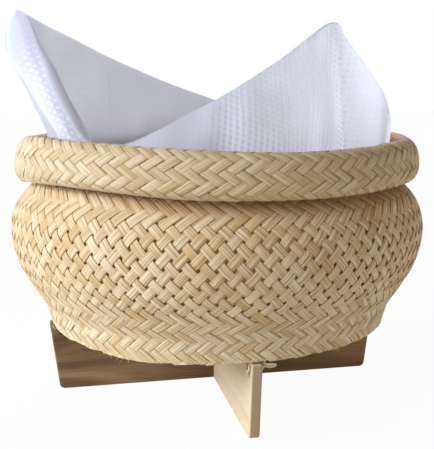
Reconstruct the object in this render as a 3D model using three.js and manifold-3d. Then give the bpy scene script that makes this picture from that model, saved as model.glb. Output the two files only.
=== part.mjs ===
// Woven bamboo rice bowl on a half-lapped cross stand, with a net steaming cloth.
// Millimetres, +Z up. The origin is on the table under the crossing of the two boards.

import * as THREE from 'three';
import { mergeVertices } from 'three/addons/utils/BufferGeometryUtils.js';
import Module from 'manifold-3d';

// Driving sizes

// Clear gap between pieces that touch in use.
const seatGap = 0.3;
const clearGap = 0.4;

// Cross stand: two boards on edge, half-lapped at the middle.
const standHeight = 34.4;
const boardThickness = 4.6;
const boardFootLength = 158.4;
const boardHeadLength = 166.8;
const boardToeRadius = 3.2;
const boardBrowRadius = 1.2;
const lapFit = 0.3;

// Outer woven wall, measured on its outer face from the foot edge upward.
const footRadius = 82.2;
const footBandRise = 6.4;
const footBandRadius = 83.9;
const waistRise = 11.2;
const waistRadius = 85.9;
const haunchRise = 20.2;
const lowerBellyRise = 32;
const bellyRise = 46.5;
const bellyRadius = 100;
const shoulderRise = 58;
const neckRise = 67.3;
const neckRadius = 91.9;
const wallThickness = 1.6;
const wallGap = 0.7;
const wallTuck = 2.8;

// Rolled rim: the folded weave is an oval sleeve round a bamboo hoop.
const rimHalfWidth = 6.4;
const rimHalfHeight = 10.2;
const rimThickness = 1.6;
const rimSettle = 0.2;
const rimOverhang = 0.65;

// Floors and the hidden foot hoop.
const floorThickness = 1.6;
const floorRise = 9.4;
const floorCrown = 1.2;
const floorCornerRise = 4.5;
const floorCornerWidth = 7;
const footHoopHeight = 4.6;
const footHoopThickness = 3.4;

// Ties that bind each board end to the foot hoop.
const tieWeld = 0.001;
const tieRadius = 0.7;
const tieHoleInset = 5.6;
const tieHoleDrop = 5.4;
const tieSlotWidth = 8.4;
const tieSlotHeight = 2.8;
const tieSlotDepth = 6.4;
const tieBoardGap = 0.5;

// Steaming cloth: a pouch in the bowl whose two opposite corners stand up.
const clothThickness = 1.2;
const clothFloorRadius = 50;
const clothHeelRadius = 66;
const clothHeelRise = 12;
const clothBodyRadius = 75;
const clothBodyRise = 34;
const clothPleats = 9;
const clothPleatDepth = 2.2;
const clothThroatBand = 4;
const clothFlare = 6.3;

// Rise of the cloth's tallest corner over the rim crest.
const clothPeakRise = 59.4;

// Facet counts.
const ringFacets = 64;
const wallRings = 14;
const liningRings = 9;
const rimFacets = 13;
const hoopFacets = 8;
const cornerFacets = 3;
const floorRings = 2;
const tieSides = 6;
const tieSteps = 28;
const heightHalvings = 40;
const holeFacets = 16;
const clothColumns = 62;
const clothRows = 9;

// Bulge of the body between waist and belly, and between neck and belly.
const haunchShare = 0.447;
const lowerBellyShare = 0.837;
const shoulderShare = 0.69;

// Shares of the cloth's own sizes.
const clothBulgeShare = 0.58;
const clothBulgeHeightShare = 0.48;
const clothWingBulgeShare = 0.4;
const clothWingPlateauShare = 1.4;
const clothShoulderShare = 0.62;
const clothShoulderHeightShare = 0.8;
const clothShoulderFlareShare = 0.95;
const cornerPullShare = 0.55;

// Where the tall corner's side flares out, and where the wing of the other corner lies flat:
// azimuth and half width in degrees.
const clothFlareTurn = { azimuth: 177, halfWidth: 11 };
const clothWingTurn = { azimuth: 285, halfWidth: 55 };

// Free edge of the cloth by azimuth in degrees: its radius as a share of the throat's,
// and its rise over the rim crest as a share of the tallest corner's.
const clothEdgeShares = [
  { azimuth: 53, reachShare: 0.932, riseShare: 0.025 },
  { azimuth: 68, reachShare: 0.917, riseShare: 0.184 },
  { azimuth: 78.4, reachShare: 0.903, riseShare: 0.264 },
  { azimuth: 89.4, reachShare: 0.885, riseShare: 0.348 },
  { azimuth: 102.3, reachShare: 0.900, riseShare: 0.453 },
  { azimuth: 114.9, reachShare: 0.937, riseShare: 0.571 },
  { azimuth: 126.5, reachShare: 0.987, riseShare: 0.687 },
  { azimuth: 138, reachShare: 1.046, riseShare: 0.816 },
  { azimuth: 149.8, reachShare: 1.109, riseShare: 0.928 },
  { azimuth: 160, reachShare: 1.126, riseShare: 0.988 },
  { azimuth: 164.9, reachShare: 1.144, riseShare: 1.000 },
  { azimuth: 168.4, reachShare: 1.147, riseShare: 0.997 },
  { azimuth: 172.2, reachShare: 1.103, riseShare: 0.997 },
  { azimuth: 175.2, reachShare: 1.075, riseShare: 0.980 },
  { azimuth: 177.6, reachShare: 1.057, riseShare: 0.939 },
  { azimuth: 180.7, reachShare: 1.044, riseShare: 0.874 },
  { azimuth: 184.7, reachShare: 1.031, riseShare: 0.778 },
  { azimuth: 189.1, reachShare: 1.019, riseShare: 0.672 },
  { azimuth: 193.4, reachShare: 1.006, riseShare: 0.559 },
  { azimuth: 197.3, reachShare: 0.992, riseShare: 0.449 },
  { azimuth: 201, reachShare: 0.979, riseShare: 0.348 },
  { azimuth: 205.1, reachShare: 0.963, riseShare: 0.236 },
  { azimuth: 209.4, reachShare: 0.950, riseShare: 0.125 },
  { azimuth: 213.8, reachShare: 0.942, riseShare: 0.030 },
  { azimuth: 220, reachShare: 0.933, riseShare: -0.037 },
  { azimuth: 225.5, reachShare: 0.929, riseShare: -0.054 },
  { azimuth: 230.3, reachShare: 0.911, riseShare: -0.044 },
  { azimuth: 233.3, reachShare: 0.895, riseShare: 0.000 },
  { azimuth: 235.5, reachShare: 0.886, riseShare: 0.051 },
  { azimuth: 240.1, reachShare: 0.867, riseShare: 0.123 },
  { azimuth: 246.3, reachShare: 0.836, riseShare: 0.202 },
  { azimuth: 252.1, reachShare: 0.806, riseShare: 0.264 },
  { azimuth: 257.6, reachShare: 0.778, riseShare: 0.320 },
  { azimuth: 271.1, reachShare: 0.714, riseShare: 0.460 },
  { azimuth: 285.5, reachShare: 0.677, riseShare: 0.594 },
  { azimuth: 301.9, reachShare: 0.677, riseShare: 0.756 },
  { azimuth: 311.5, reachShare: 0.689, riseShare: 0.843 },
  { azimuth: 316, reachShare: 0.696, riseShare: 0.870 },
  { azimuth: 318.9, reachShare: 0.709, riseShare: 0.879 },
  { azimuth: 320.2, reachShare: 0.732, riseShare: 0.864 },
  { azimuth: 320.6, reachShare: 0.757, riseShare: 0.790 },
  { azimuth: 321.2, reachShare: 0.805, riseShare: 0.690 },
  { azimuth: 321.6, reachShare: 0.854, riseShare: 0.601 },
  { azimuth: 322.2, reachShare: 0.917, riseShare: 0.481 },
  { azimuth: 323.5, reachShare: 0.963, riseShare: 0.370 },
  { azimuth: 327, reachShare: 0.982, riseShare: 0.256 },
  { azimuth: 332.2, reachShare: 0.987, riseShare: 0.162 },
  { azimuth: 338.9, reachShare: 0.990, riseShare: 0.064 },
  { azimuth: 350, reachShare: 0.962, riseShare: 0.008 },
  { azimuth: 5, reachShare: 0.938, riseShare: 0.051 },
  { azimuth: 20, reachShare: 0.932, riseShare: 0.084 },
  { azimuth: 35, reachShare: 0.938, riseShare: 0.051 },
];

// Reach of the cloth inside the throat, as a share of the throat's radius. Past 300 degrees
// the flat wing ends in an upright valley, and a narrow facet turns back out to the rim.
const clothThroatShares = [
  { azimuth: 60, reachShare: 0.971 },
  { azimuth: 200, reachShare: 0.971 },
  { azimuth: 222, reachShare: 0.962 },
  { azimuth: 230, reachShare: 0.944 },
  { azimuth: 245, reachShare: 0.920 },
  { azimuth: 258, reachShare: 0.891 },
  { azimuth: 274, reachShare: 0.843 },
  { azimuth: 291, reachShare: 0.796 },
  { azimuth: 306, reachShare: 0.777 },
  { azimuth: 316, reachShare: 0.770 },
  { azimuth: 320.8, reachShare: 0.774 },
  { azimuth: 321.8, reachShare: 0.802 },
  { azimuth: 323, reachShare: 0.873 },
  { azimuth: 324.3, reachShare: 0.938 },
  { azimuth: 326.5, reachShare: 0.962 },
  { azimuth: 332, reachShare: 0.969 },
  { azimuth: 342, reachShare: 0.969 },
  { azimuth: 360, reachShare: 0.956 },
  { azimuth: 420, reachShare: 0.971 },
];

// Derived levels

const haunchRadius = waistRadius + (bellyRadius - waistRadius) * haunchShare;
const lowerBellyRadius = waistRadius + (bellyRadius - waistRadius) * lowerBellyShare;
const shoulderRadius = neckRadius + (bellyRadius - neckRadius) * shoulderShare;

const footZ = standHeight + seatGap;
const neckZ = footZ + neckRise;
const wallsMiddleRadius = neckRadius - wallThickness - wallGap / 2;
const rimCentreRadius = wallsMiddleRadius + rimOverhang;
const rimCentreZ = neckZ + rimHalfHeight + rimSettle;
const rimCrestZ = rimCentreZ + rimHalfHeight;
const throatRadius = rimCentreRadius - rimHalfWidth;
const floorZ = footZ + floorRise;
const liningFloorZ = floorZ + floorThickness + seatGap;
const clothFloorZ = liningFloorZ + floorThickness + floorCrown + seatGap;
const tieZ = footZ + footHoopHeight + clearGap + tieRadius;
const tieHoleRadius = tieRadius + clearGap;
const hoopOuterRadius = footRadius - wallThickness - clearGap;
const hoopInnerRadius = hoopOuterRadius - footHoopThickness;

// Materials

const bambooMaterial = (colour) =>
  new THREE.MeshStandardMaterial({ color: colour, roughness: 0.62, metalness: 0 });
const outerBamboo = bambooMaterial(0xe0c79a);
const rimBamboo = bambooMaterial(0xe3cc9f);
const innerBamboo = bambooMaterial(0xd8bd8c);
const hoopBamboo = bambooMaterial(0xc9a873);
const tieRattan = bambooMaterial(0xcdb287);
const boardWood = new THREE.MeshStandardMaterial({ color: 0xb49468, roughness: 0.7, metalness: 0 });
const clothNet = new THREE.MeshStandardMaterial({ color: 0xe9ecf5, roughness: 0.85, metalness: 0 });

// Shared helpers

const radians = (degrees) => THREE.MathUtils.degToRad(degrees);

function named(name, geometry, material) {
  const mesh = new THREE.Mesh(geometry, material);
  mesh.name = name;
  return mesh;
}

// A ring or disc turned about Z from a profile of (radius, height) points.
function turned(profile) {
  const geometry = new THREE.LatheGeometry(profile, ringFacets);
  geometry.rotateX(Math.PI / 2);
  return geometry;
}

const closedLoop = (points) => [...points, points[0].clone()];

// Wall profile

const wallStations = [
  [footRadius, 0],
  [footBandRadius, footBandRise],
  [waistRadius, waistRise],
  [haunchRadius, haunchRise],
  [lowerBellyRadius, lowerBellyRise],
  [bellyRadius, bellyRise],
  [shoulderRadius, shoulderRise],
  [neckRadius, neckRise],
];

const wallCurve = new THREE.SplineCurve(
  wallStations.map(([radius, rise]) => new THREE.Vector2(radius, footZ + rise)),
);

// Point at a share of the wall's outer line, moved inward by a depth.
function wallPoint(share, depth) {
  const point = wallCurve.getPoint(share);
  const along = wallCurve.getTangent(share);
  return new THREE.Vector2(point.x - along.y * depth, point.y + along.x * depth);
}

// Share of the outer line at which the offset wall reaches a height.
function shareAtHeight(height, depth) {
  let low = 0;
  let high = 1;
  for (let halving = 0; halving < heightHalvings; halving += 1) {
    const middle = (low + high) / 2;
    if (wallPoint(middle, depth).y < height) {
      low = middle;
    } else {
      high = middle;
    }
  }
  return low;
}

function wallLine(startShare, depth, rings) {
  const points = [];
  for (let i = 0; i <= rings; i += 1) {
    points.push(wallPoint(startShare + ((1 - startShare) * i) / rings, depth));
  }
  return points;
}

// Manifold cutting

const wasm = await Module();
wasm.setup();

function toSolid(geometry) {
  const plain = geometry.clone();
  plain.deleteAttribute('normal');
  plain.deleteAttribute('uv');
  const merged = mergeVertices(plain);
  return new wasm.Manifold(
    new wasm.Mesh({
      numProp: 3,
      vertProperties: new Float32Array(merged.getAttribute('position').array),
      triVerts: new Uint32Array(merged.getIndex().array),
    }),
  );
}

function fromSolid(solid) {
  const mesh = solid.getMesh();
  const geometry = new THREE.BufferGeometry();
  geometry.setAttribute('position', new THREE.BufferAttribute(mesh.vertProperties, mesh.numProp));
  geometry.setIndex(new THREE.BufferAttribute(mesh.triVerts, 1));
  geometry.computeVertexNormals();
  return geometry;
}

// Cross stand

// Board outline in (length, height), with raked ends and the lap slot.
function boardOutline(slotFromTop) {
  const toe = boardFootLength / 2;
  const head = boardHeadLength / 2;
  const rake = (head - toe) / standHeight;
  const slotHalf = boardThickness / 2 + lapFit;
  const slotDepth = standHeight / 2 + lapFit / 2;
  const shape = new THREE.Shape();
  const slot = (side) => {
    const level = slotFromTop ? standHeight : 0;
    const end = slotFromTop ? standHeight - slotDepth : slotDepth;
    shape.lineTo(side * slotHalf, level);
    shape.lineTo(side * slotHalf, end);
    shape.lineTo(-side * slotHalf, end);
    shape.lineTo(-side * slotHalf, level);
  };
  shape.moveTo(-toe + boardToeRadius, 0);
  if (!slotFromTop) {
    slot(-1);
  }
  shape.lineTo(toe - boardToeRadius, 0);
  shape.quadraticCurveTo(toe, 0, toe + rake * boardToeRadius, boardToeRadius);
  shape.lineTo(head - rake * boardBrowRadius, standHeight - boardBrowRadius);
  shape.quadraticCurveTo(head, standHeight, head - boardBrowRadius, standHeight);
  if (slotFromTop) {
    slot(1);
  }
  shape.lineTo(-head + boardBrowRadius, standHeight);
  shape.quadraticCurveTo(-head, standHeight, -head + rake * boardBrowRadius, standHeight - boardBrowRadius);
  shape.lineTo(-toe - rake * boardToeRadius, boardToeRadius);
  shape.quadraticCurveTo(-toe, 0, -toe + boardToeRadius, 0);
  return shape;
}

function tieHoleReach() {
  return boardHeadLength / 2 - tieHoleInset;
}

function addTieHoles(shape) {
  for (const side of [-1, 1]) {
    const hole = new THREE.Path();
    hole.absarc(side * tieHoleReach(), standHeight - tieHoleDrop, tieHoleRadius, 0, 2 * Math.PI, true);
    shape.holes.push(hole);
  }
}

function standBoard(name, slotFromTop, turn) {
  const shape = boardOutline(slotFromTop);
  addTieHoles(shape);
  const geometry = new THREE.ExtrudeGeometry(shape, {
    depth: boardThickness,
    bevelEnabled: false,
    curveSegments: holeFacets / 2,
  });
  geometry.translate(0, 0, -boardThickness / 2);
  geometry.rotateX(Math.PI / 2);
  const board = named(name, geometry, boardWood);
  board.rotation.z = turn;
  return board;
}

// Woven walls

// Slot cutters where the four ties pass through the foot band.
function tieSlotCutter(turn) {
  const box = new THREE.BoxGeometry(tieSlotDepth, tieSlotWidth, tieSlotHeight);
  box.translate(footBandRadius, 0, tieZ);
  box.rotateZ(turn);
  return toSolid(box);
}

function outerWall() {
  const outside = wallLine(0, 0, wallRings);
  const inside = wallLine(0, wallThickness, wallRings);
  const innerFoot = new THREE.Vector2(footRadius - wallThickness, footZ);
  inside[0].copy(innerFoot);
  const top = neckZ + wallTuck;
  const profile = [
    ...outside,
    new THREE.Vector2(neckRadius, top),
    new THREE.Vector2(neckRadius - wallThickness, top),
    ...inside.reverse(),
  ];
  let solid = toSolid(turned(closedLoop(profile)));
  for (let quarter = 0; quarter < 4; quarter += 1) {
    solid = solid.subtract(tieSlotCutter((quarter * Math.PI) / 2));
  }
  return named('outer_woven_wall', fromSolid(solid), outerBamboo);
}

// Crowned floor line from a radius to the axis at a level.
function floorLine(radius, level) {
  const points = [];
  for (let i = 0; i <= floorRings; i += 1) {
    const share = 1 - i / floorRings;
    const lift = floorCrown * (1 - share * share);
    points.push(new THREE.Vector2(radius * share, level + lift));
  }
  return points;
}

// Round corner between the lining's floor and its wall.
function cornerLine(floorRadius, level, wallStart) {
  const corner = new THREE.QuadraticBezierCurve(
    new THREE.Vector2(floorRadius, level),
    new THREE.Vector2(floorRadius + (wallStart.x - floorRadius) * cornerPullShare, level),
    wallStart,
  );
  return corner.getPoints(cornerFacets).slice(1, -1);
}

function innerLining() {
  const depth = wallThickness + wallGap;
  const start = shareAtHeight(liningFloorZ + floorCornerRise, depth);
  const outside = wallLine(start, depth, liningRings);
  const inside = wallLine(start, depth + wallThickness, liningRings);
  const floorRadius = outside[0].x - floorCornerWidth;
  const innerFloorRadius = floorRadius - wallThickness / 2;
  const top = neckZ + wallTuck;
  const topRadius = neckRadius - depth;
  const underside = floorLine(floorRadius, liningFloorZ).reverse();
  const inner = floorLine(innerFloorRadius, liningFloorZ + floorThickness);
  const profile = [
    ...underside,
    ...cornerLine(floorRadius, liningFloorZ, outside[0]),
    ...outside,
    new THREE.Vector2(topRadius, top),
    new THREE.Vector2(topRadius - wallThickness, top),
    ...inside.reverse(),
    ...cornerLine(innerFloorRadius, liningFloorZ + floorThickness, inside[inside.length - 1]).reverse(),
    ...inner,
  ];
  return named('inner_woven_lining', turned(profile), innerBamboo);
}

function outerFloor() {
  const share = shareAtHeight(floorZ, wallThickness + seatGap);
  const radius = wallPoint(share, wallThickness + seatGap).x - seatGap;
  const profile = [
    ...floorLine(radius, floorZ).reverse(),
    ...floorLine(radius, floorZ + floorThickness),
  ];
  return named('outer_woven_floor', turned(profile), outerBamboo);
}

function footHoop() {
  const top = footZ + footHoopHeight;
  const profile = [
    new THREE.Vector2(hoopOuterRadius, footZ),
    new THREE.Vector2(hoopOuterRadius, top),
    new THREE.Vector2(hoopInnerRadius, top),
    new THREE.Vector2(hoopInnerRadius, footZ),
  ];
  return named('foot_hoop', turned(closedLoop(profile)), hoopBamboo);
}

// Rolled rim

// Oval line round the rim's centre, open below where both walls' edges enter.
function rimLine(halfWidth, halfHeight, slotHalf) {
  const outerLip = Math.asin((slotHalf - rimOverhang) / halfWidth);
  const innerLip = Math.asin((slotHalf + rimOverhang) / halfWidth);
  const from = -Math.PI / 2 + outerLip;
  const sweep = 2 * Math.PI - outerLip - innerLip;
  const points = [];
  for (let i = 0; i <= rimFacets; i += 1) {
    const angle = from + (sweep * i) / rimFacets;
    points.push(
      new THREE.Vector2(
        rimCentreRadius + halfWidth * Math.cos(angle),
        rimCentreZ + halfHeight * Math.sin(angle),
      ),
    );
  }
  return points;
}

function rimRoll() {
  const slotHalf = wallThickness + wallGap / 2 + clearGap;
  const outside = rimLine(rimHalfWidth, rimHalfHeight, slotHalf);
  const inside = rimLine(rimHalfWidth - rimThickness, rimHalfHeight - rimThickness, slotHalf);
  return named('rim_roll', turned(closedLoop([...outside, ...inside.reverse()])), rimBamboo);
}

function rimHoop() {
  const halfWidth = rimHalfWidth - rimThickness - clearGap;
  const lowest = neckZ + wallTuck + clearGap;
  const highest = rimCrestZ - rimThickness - clearGap;
  const halfHeight = (highest - lowest) / 2;
  const middle = (highest + lowest) / 2;
  const profile = [];
  for (let i = 0; i < hoopFacets; i += 1) {
    const angle = (2 * Math.PI * i) / hoopFacets;
    profile.push(
      new THREE.Vector2(
        rimCentreRadius + halfWidth * Math.cos(angle),
        middle + halfHeight * Math.sin(angle),
      ),
    );
  }
  return named('rim_hoop', turned(closedLoop(profile)), hoopBamboo);
}

// Ties

// Closed path through the board's hole, up outside the wall and back over the hoop.
function tiePath() {
  const side = boardThickness / 2 + tieBoardGap + tieRadius;
  const holeZ = standHeight - tieHoleDrop;
  const bandShare = shareAtHeight(tieZ, 0);
  const outerReach = wallPoint(bandShare, 0).x + clearGap + tieRadius;
  const innerReach = hoopInnerRadius - clearGap - tieRadius;
  const holeReach = tieHoleReach();
  const hoopMiddle = (hoopOuterRadius + hoopInnerRadius) / 2;
  const points = [
    [holeReach, -side / 2, holeZ],
    [holeReach, side / 2, holeZ],
    [holeReach + tieRadius, side, holeZ + tieRadius],
    [outerReach, side, footZ - tieRadius],
    [outerReach, side, footZ + footHoopHeight / 2],
    [outerReach - tieRadius, side - tieRadius, tieZ],
    [hoopOuterRadius, side / 2, tieZ],
    [hoopMiddle, 0, tieZ],
    [hoopInnerRadius, -side / 2, tieZ],
    [innerReach, -side, footZ + footHoopHeight],
    [innerReach, -side, footZ],
    [holeReach - tieRadius, -side, holeZ + tieRadius],
  ];
  return new THREE.CatmullRomCurve3(
    points.map(([reach, offset, height]) => new THREE.Vector3(reach, offset, height)),
    true,
    'centripetal',
  );
}

function boardTie(name, turn) {
  const section = new THREE.Shape();
  for (let i = 0; i < tieSides; i += 1) {
    const angle = (2 * Math.PI * i) / tieSides;
    const x = tieRadius * Math.cos(angle);
    const y = tieRadius * Math.sin(angle);
    if (i === 0) {
      section.moveTo(x, y);
    } else {
      section.lineTo(x, y);
    }
  }
  const geometry = new THREE.ExtrudeGeometry(section, { steps: tieSteps, extrudePath: tiePath() });
  geometry.deleteAttribute('normal');
  geometry.deleteAttribute('uv');
  const welded = mergeVertices(geometry, tieWeld);
  welded.computeVertexNormals();
  const tie = named(name, welded, tieRattan);
  tie.rotation.z = turn;
  return tie;
}

// Steaming cloth

const clothEdgeCurve = new THREE.CatmullRomCurve3(
  clothEdgeShares.map(({ azimuth, reachShare, riseShare }) => {
    const angle = radians(azimuth);
    const reach = throatRadius * reachShare;
    return new THREE.Vector3(
      reach * Math.cos(angle),
      reach * Math.sin(angle),
      rimCrestZ + clothPeakRise * riseShare,
    );
  }),
  true,
);

// Share from 1 in the middle of a turn of the cloth down to 0 outside it.
function turnShare(azimuth, { azimuth: middle, halfWidth }) {
  const turn = azimuth - radians(middle);
  const away = Math.atan2(Math.sin(turn), Math.cos(turn)) / radians(halfWidth);
  return Math.exp(-away * away);
}

// Radius of the cloth inside the throat at an azimuth.
function clothThroat(azimuth) {
  const stations = clothThroatShares.map((station) => radians(station.azimuth));
  const first = stations[0];
  const place = first + THREE.MathUtils.euclideanModulo(azimuth - first, Math.PI * 2);
  const next = stations.findIndex((station) => station > place);
  const after = clothThroatShares[next].reachShare;
  const before = clothThroatShares[next - 1].reachShare;
  const along = (place - stations[next - 1]) / (stations[next] - stations[next - 1]);
  return throatRadius * (before + (after - before) * along);
}

// Side line of the pouch from its floor to one point of the free edge.
function clothColumn(edgePoint) {
  const azimuth = Math.atan2(edgePoint.y, edgePoint.x);
  const pleat = clothPleatDepth * (1 + Math.cos(azimuth * clothPleats)) / 2;
  const flare = clothFlare * turnShare(azimuth, clothFlareTurn);
  const wing = Math.min(1, clothWingPlateauShare * turnShare(azimuth, clothWingTurn));
  const edgeRadius = Math.hypot(edgePoint.x, edgePoint.y);
  const throat = clothThroat(azimuth);
  const rise = edgePoint.z - rimCentreZ;
  const bulge = Math.max(0, throat - edgeRadius) * (clothBulgeShare - clothWingBulgeShare * wing);
  const middle = (throat + edgeRadius) / 2 + bulge + flare;
  const shoulder = middle + (edgeRadius - middle) * clothShoulderShare
    + flare * clothShoulderFlareShare;
  const profile = new THREE.SplineCurve([
    new THREE.Vector2(clothFloorRadius, clothFloorZ),
    new THREE.Vector2(clothHeelRadius - pleat, clothFloorZ + clothHeelRise),
    new THREE.Vector2(clothBodyRadius - pleat, clothFloorZ + clothBodyRise),
    new THREE.Vector2(throat, rimCentreZ - clothThroatBand),
    new THREE.Vector2(middle, rimCentreZ + rise * clothBulgeHeightShare),
    new THREE.Vector2(shoulder, rimCentreZ + rise * clothShoulderHeightShare),
    new THREE.Vector2(edgeRadius, edgePoint.z),
  ]);
  return profile.getSpacedPoints(clothRows).map(
    (point) => new THREE.Vector3(point.x * Math.cos(azimuth), point.x * Math.sin(azimuth), point.y),
  );
}

// Grid of the cloth's outer face, one list of points per column.
function clothColumnGrid() {
  const columns = [];
  for (let i = 0; i < clothColumns; i += 1) {
    columns.push(clothColumn(clothEdgeCurve.getPointAt(i / clothColumns)));
  }
  return columns;
}

// Unit direction out of the cloth at a grid point, from its neighbours.
function clothOutward(columns, i, row) {
  const left = columns[(i + clothColumns - 1) % clothColumns][row];
  const right = columns[(i + 1) % clothColumns][row];
  const below = columns[i][Math.max(row - 1, 0)];
  const above = columns[i][Math.min(row + 1, clothRows)];
  const across = right.clone().sub(left);
  const upward = above.clone().sub(below);
  return across.cross(upward).normalize();
}

function steamingCloth() {
  const columns = clothColumnGrid();
  const positions = [];
  const indices = [];
  const rows = clothRows + 1;
  const push = (point) => positions.push(point.x, point.y, point.z);
  for (let i = 0; i < clothColumns; i += 1) {
    columns[i].forEach(push);
  }
  for (let i = 0; i < clothColumns; i += 1) {
    for (let row = 0; row < rows; row += 1) {
      const inward = clothOutward(columns, i, row).multiplyScalar(-clothThickness);
      if (row === 0) {
        inward.set(0, 0, clothThickness);
      }
      push(columns[i][row].clone().add(inward));
    }
  }
  const innerStart = clothColumns * rows;
  const outerPole = positions.length / 3;
  push(new THREE.Vector3(0, 0, clothFloorZ));
  push(new THREE.Vector3(0, 0, clothFloorZ + clothThickness));
  const innerPole = outerPole + 1;
  for (let i = 0; i < clothColumns; i += 1) {
    const here = i * rows;
    const next = ((i + 1) % clothColumns) * rows;
    for (let row = 0; row < clothRows; row += 1) {
      const a = here + row;
      const b = next + row;
      indices.push(a, b, b + 1, a, b + 1, a + 1);
      const c = innerStart + a;
      const d = innerStart + b;
      indices.push(c, d + 1, d, c, c + 1, d + 1);
    }
    const outerEdge = here + clothRows;
    const nextEdge = next + clothRows;
    indices.push(outerEdge, nextEdge, innerStart + nextEdge);
    indices.push(outerEdge, innerStart + nextEdge, innerStart + outerEdge);
    indices.push(outerPole, next, here);
    indices.push(innerPole, innerStart + here, innerStart + next);
  }
  const geometry = new THREE.BufferGeometry();
  geometry.setAttribute('position', new THREE.Float32BufferAttribute(positions, 3));
  geometry.setIndex(indices);
  geometry.computeVertexNormals();
  return named('steaming_cloth', geometry, clothNet);
}

// Assembly

const stand = new THREE.Group();
stand.name = 'cross_stand';
stand.add(standBoard('stand_board_long', true, 0));
stand.add(standBoard('stand_board_cross', false, Math.PI / 2));

const bowl = new THREE.Group();
bowl.name = 'woven_bowl';
bowl.add(footHoop(), outerWall(), outerFloor(), innerLining(), rimHoop(), rimRoll());

const ties = new THREE.Group();
ties.name = 'board_ties';
['right', 'back', 'left', 'front'].forEach((place, quarter) => {
  ties.add(boardTie(`tie_${place}`, (quarter * Math.PI) / 2));
});

const steamer = new THREE.Group();
steamer.name = 'sticky_rice_steamer';
steamer.add(stand, bowl, ties, steamingCloth());

export default steamer;
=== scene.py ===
import math

import bmesh
import bpy
import numpy as np
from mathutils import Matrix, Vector


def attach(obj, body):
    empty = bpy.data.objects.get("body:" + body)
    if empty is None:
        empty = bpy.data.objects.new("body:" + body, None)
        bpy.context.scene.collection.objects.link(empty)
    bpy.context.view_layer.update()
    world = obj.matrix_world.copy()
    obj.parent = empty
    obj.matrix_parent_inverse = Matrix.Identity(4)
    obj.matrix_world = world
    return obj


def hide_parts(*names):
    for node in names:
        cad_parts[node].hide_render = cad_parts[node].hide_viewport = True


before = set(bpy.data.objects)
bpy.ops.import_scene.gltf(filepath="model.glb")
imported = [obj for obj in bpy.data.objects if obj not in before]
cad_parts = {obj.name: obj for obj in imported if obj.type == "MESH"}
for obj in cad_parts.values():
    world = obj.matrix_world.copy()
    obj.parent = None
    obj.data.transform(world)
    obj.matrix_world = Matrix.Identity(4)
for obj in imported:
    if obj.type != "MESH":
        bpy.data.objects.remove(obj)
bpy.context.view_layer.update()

# Sizes shared with the solids, in mm. A name with Z is a height over the table.

MM = 0.001
SEAT_GAP = 0.3
STAND_HEIGHT = 34.4
BOARD_THICKNESS = 4.6
BOARD_FOOT = 158.4
BOARD_HEAD = 166.8
FOOT_Z = STAND_HEIGHT + SEAT_GAP
WALL_STATIONS = (
    (82.2, 0), (83.9, 6.4), (85.5, 11.2), (91.2, 20.2), (97.4, 32), (100, 46.5), (97.1, 58), (89, 67.3))
NECK_Z = FOOT_Z + 67.3
NECK_RADIUS = 91.9
RIM_RADIUS = 90.6
RIM_HALF_WIDTH = 6.4
RIM_HALF_HEIGHT = 10.2
RIM_Z = NECK_Z + RIM_HALF_HEIGHT + 0.2
CREST_Z = RIM_Z + RIM_HALF_HEIGHT
MAT_THICKNESS = 1.6
FLOOR_CROWN = 1.2
FLOOR_Z = FOOT_Z + 9.4
LINING_FLOOR_Z = FLOOR_Z + MAT_THICKNESS + SEAT_GAP
CLOTH_FLOOR_Z = LINING_FLOOR_Z + MAT_THICKNESS + FLOOR_CROWN + SEAT_GAP

# Weave: strips in each direction, and the turn from one to the next.
STRIPS = 90
STEP = 2 * math.pi / STRIPS

rng = np.random.default_rng(20)

# Camera, in metres and radians

CAMERA_PLACE = (-0.0849, -0.3969, 0.14877)
CAMERA_TURN = math.radians(12.08)
CAMERA_PITCH = 0.1706

scene = bpy.context.scene


def add_object(name, data):
    obj = bpy.data.objects.new(name, data)
    scene.collection.objects.link(obj)
    return obj


def aimed(name, data, place, direction):
    """A camera or light at a place that looks along a direction."""
    obj = add_object(name, data)
    obj.location = place
    obj.rotation_mode = "QUATERNION"
    obj.rotation_quaternion = Vector(direction).to_track_quat("-Z", "Y")
    return obj


def make_camera():
    data = bpy.data.cameras.new("camera")
    data.lens = 66.22
    data.sensor_width = 36
    data.clip_start = 0.01
    data.clip_end = 20
    level = math.cos(CAMERA_PITCH)
    forward = (math.sin(CAMERA_TURN) * level, math.cos(CAMERA_TURN) * level, -math.sin(CAMERA_PITCH))
    scene.camera = aimed("camera", data, CAMERA_PLACE, forward)


make_camera()

# Node helpers


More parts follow.
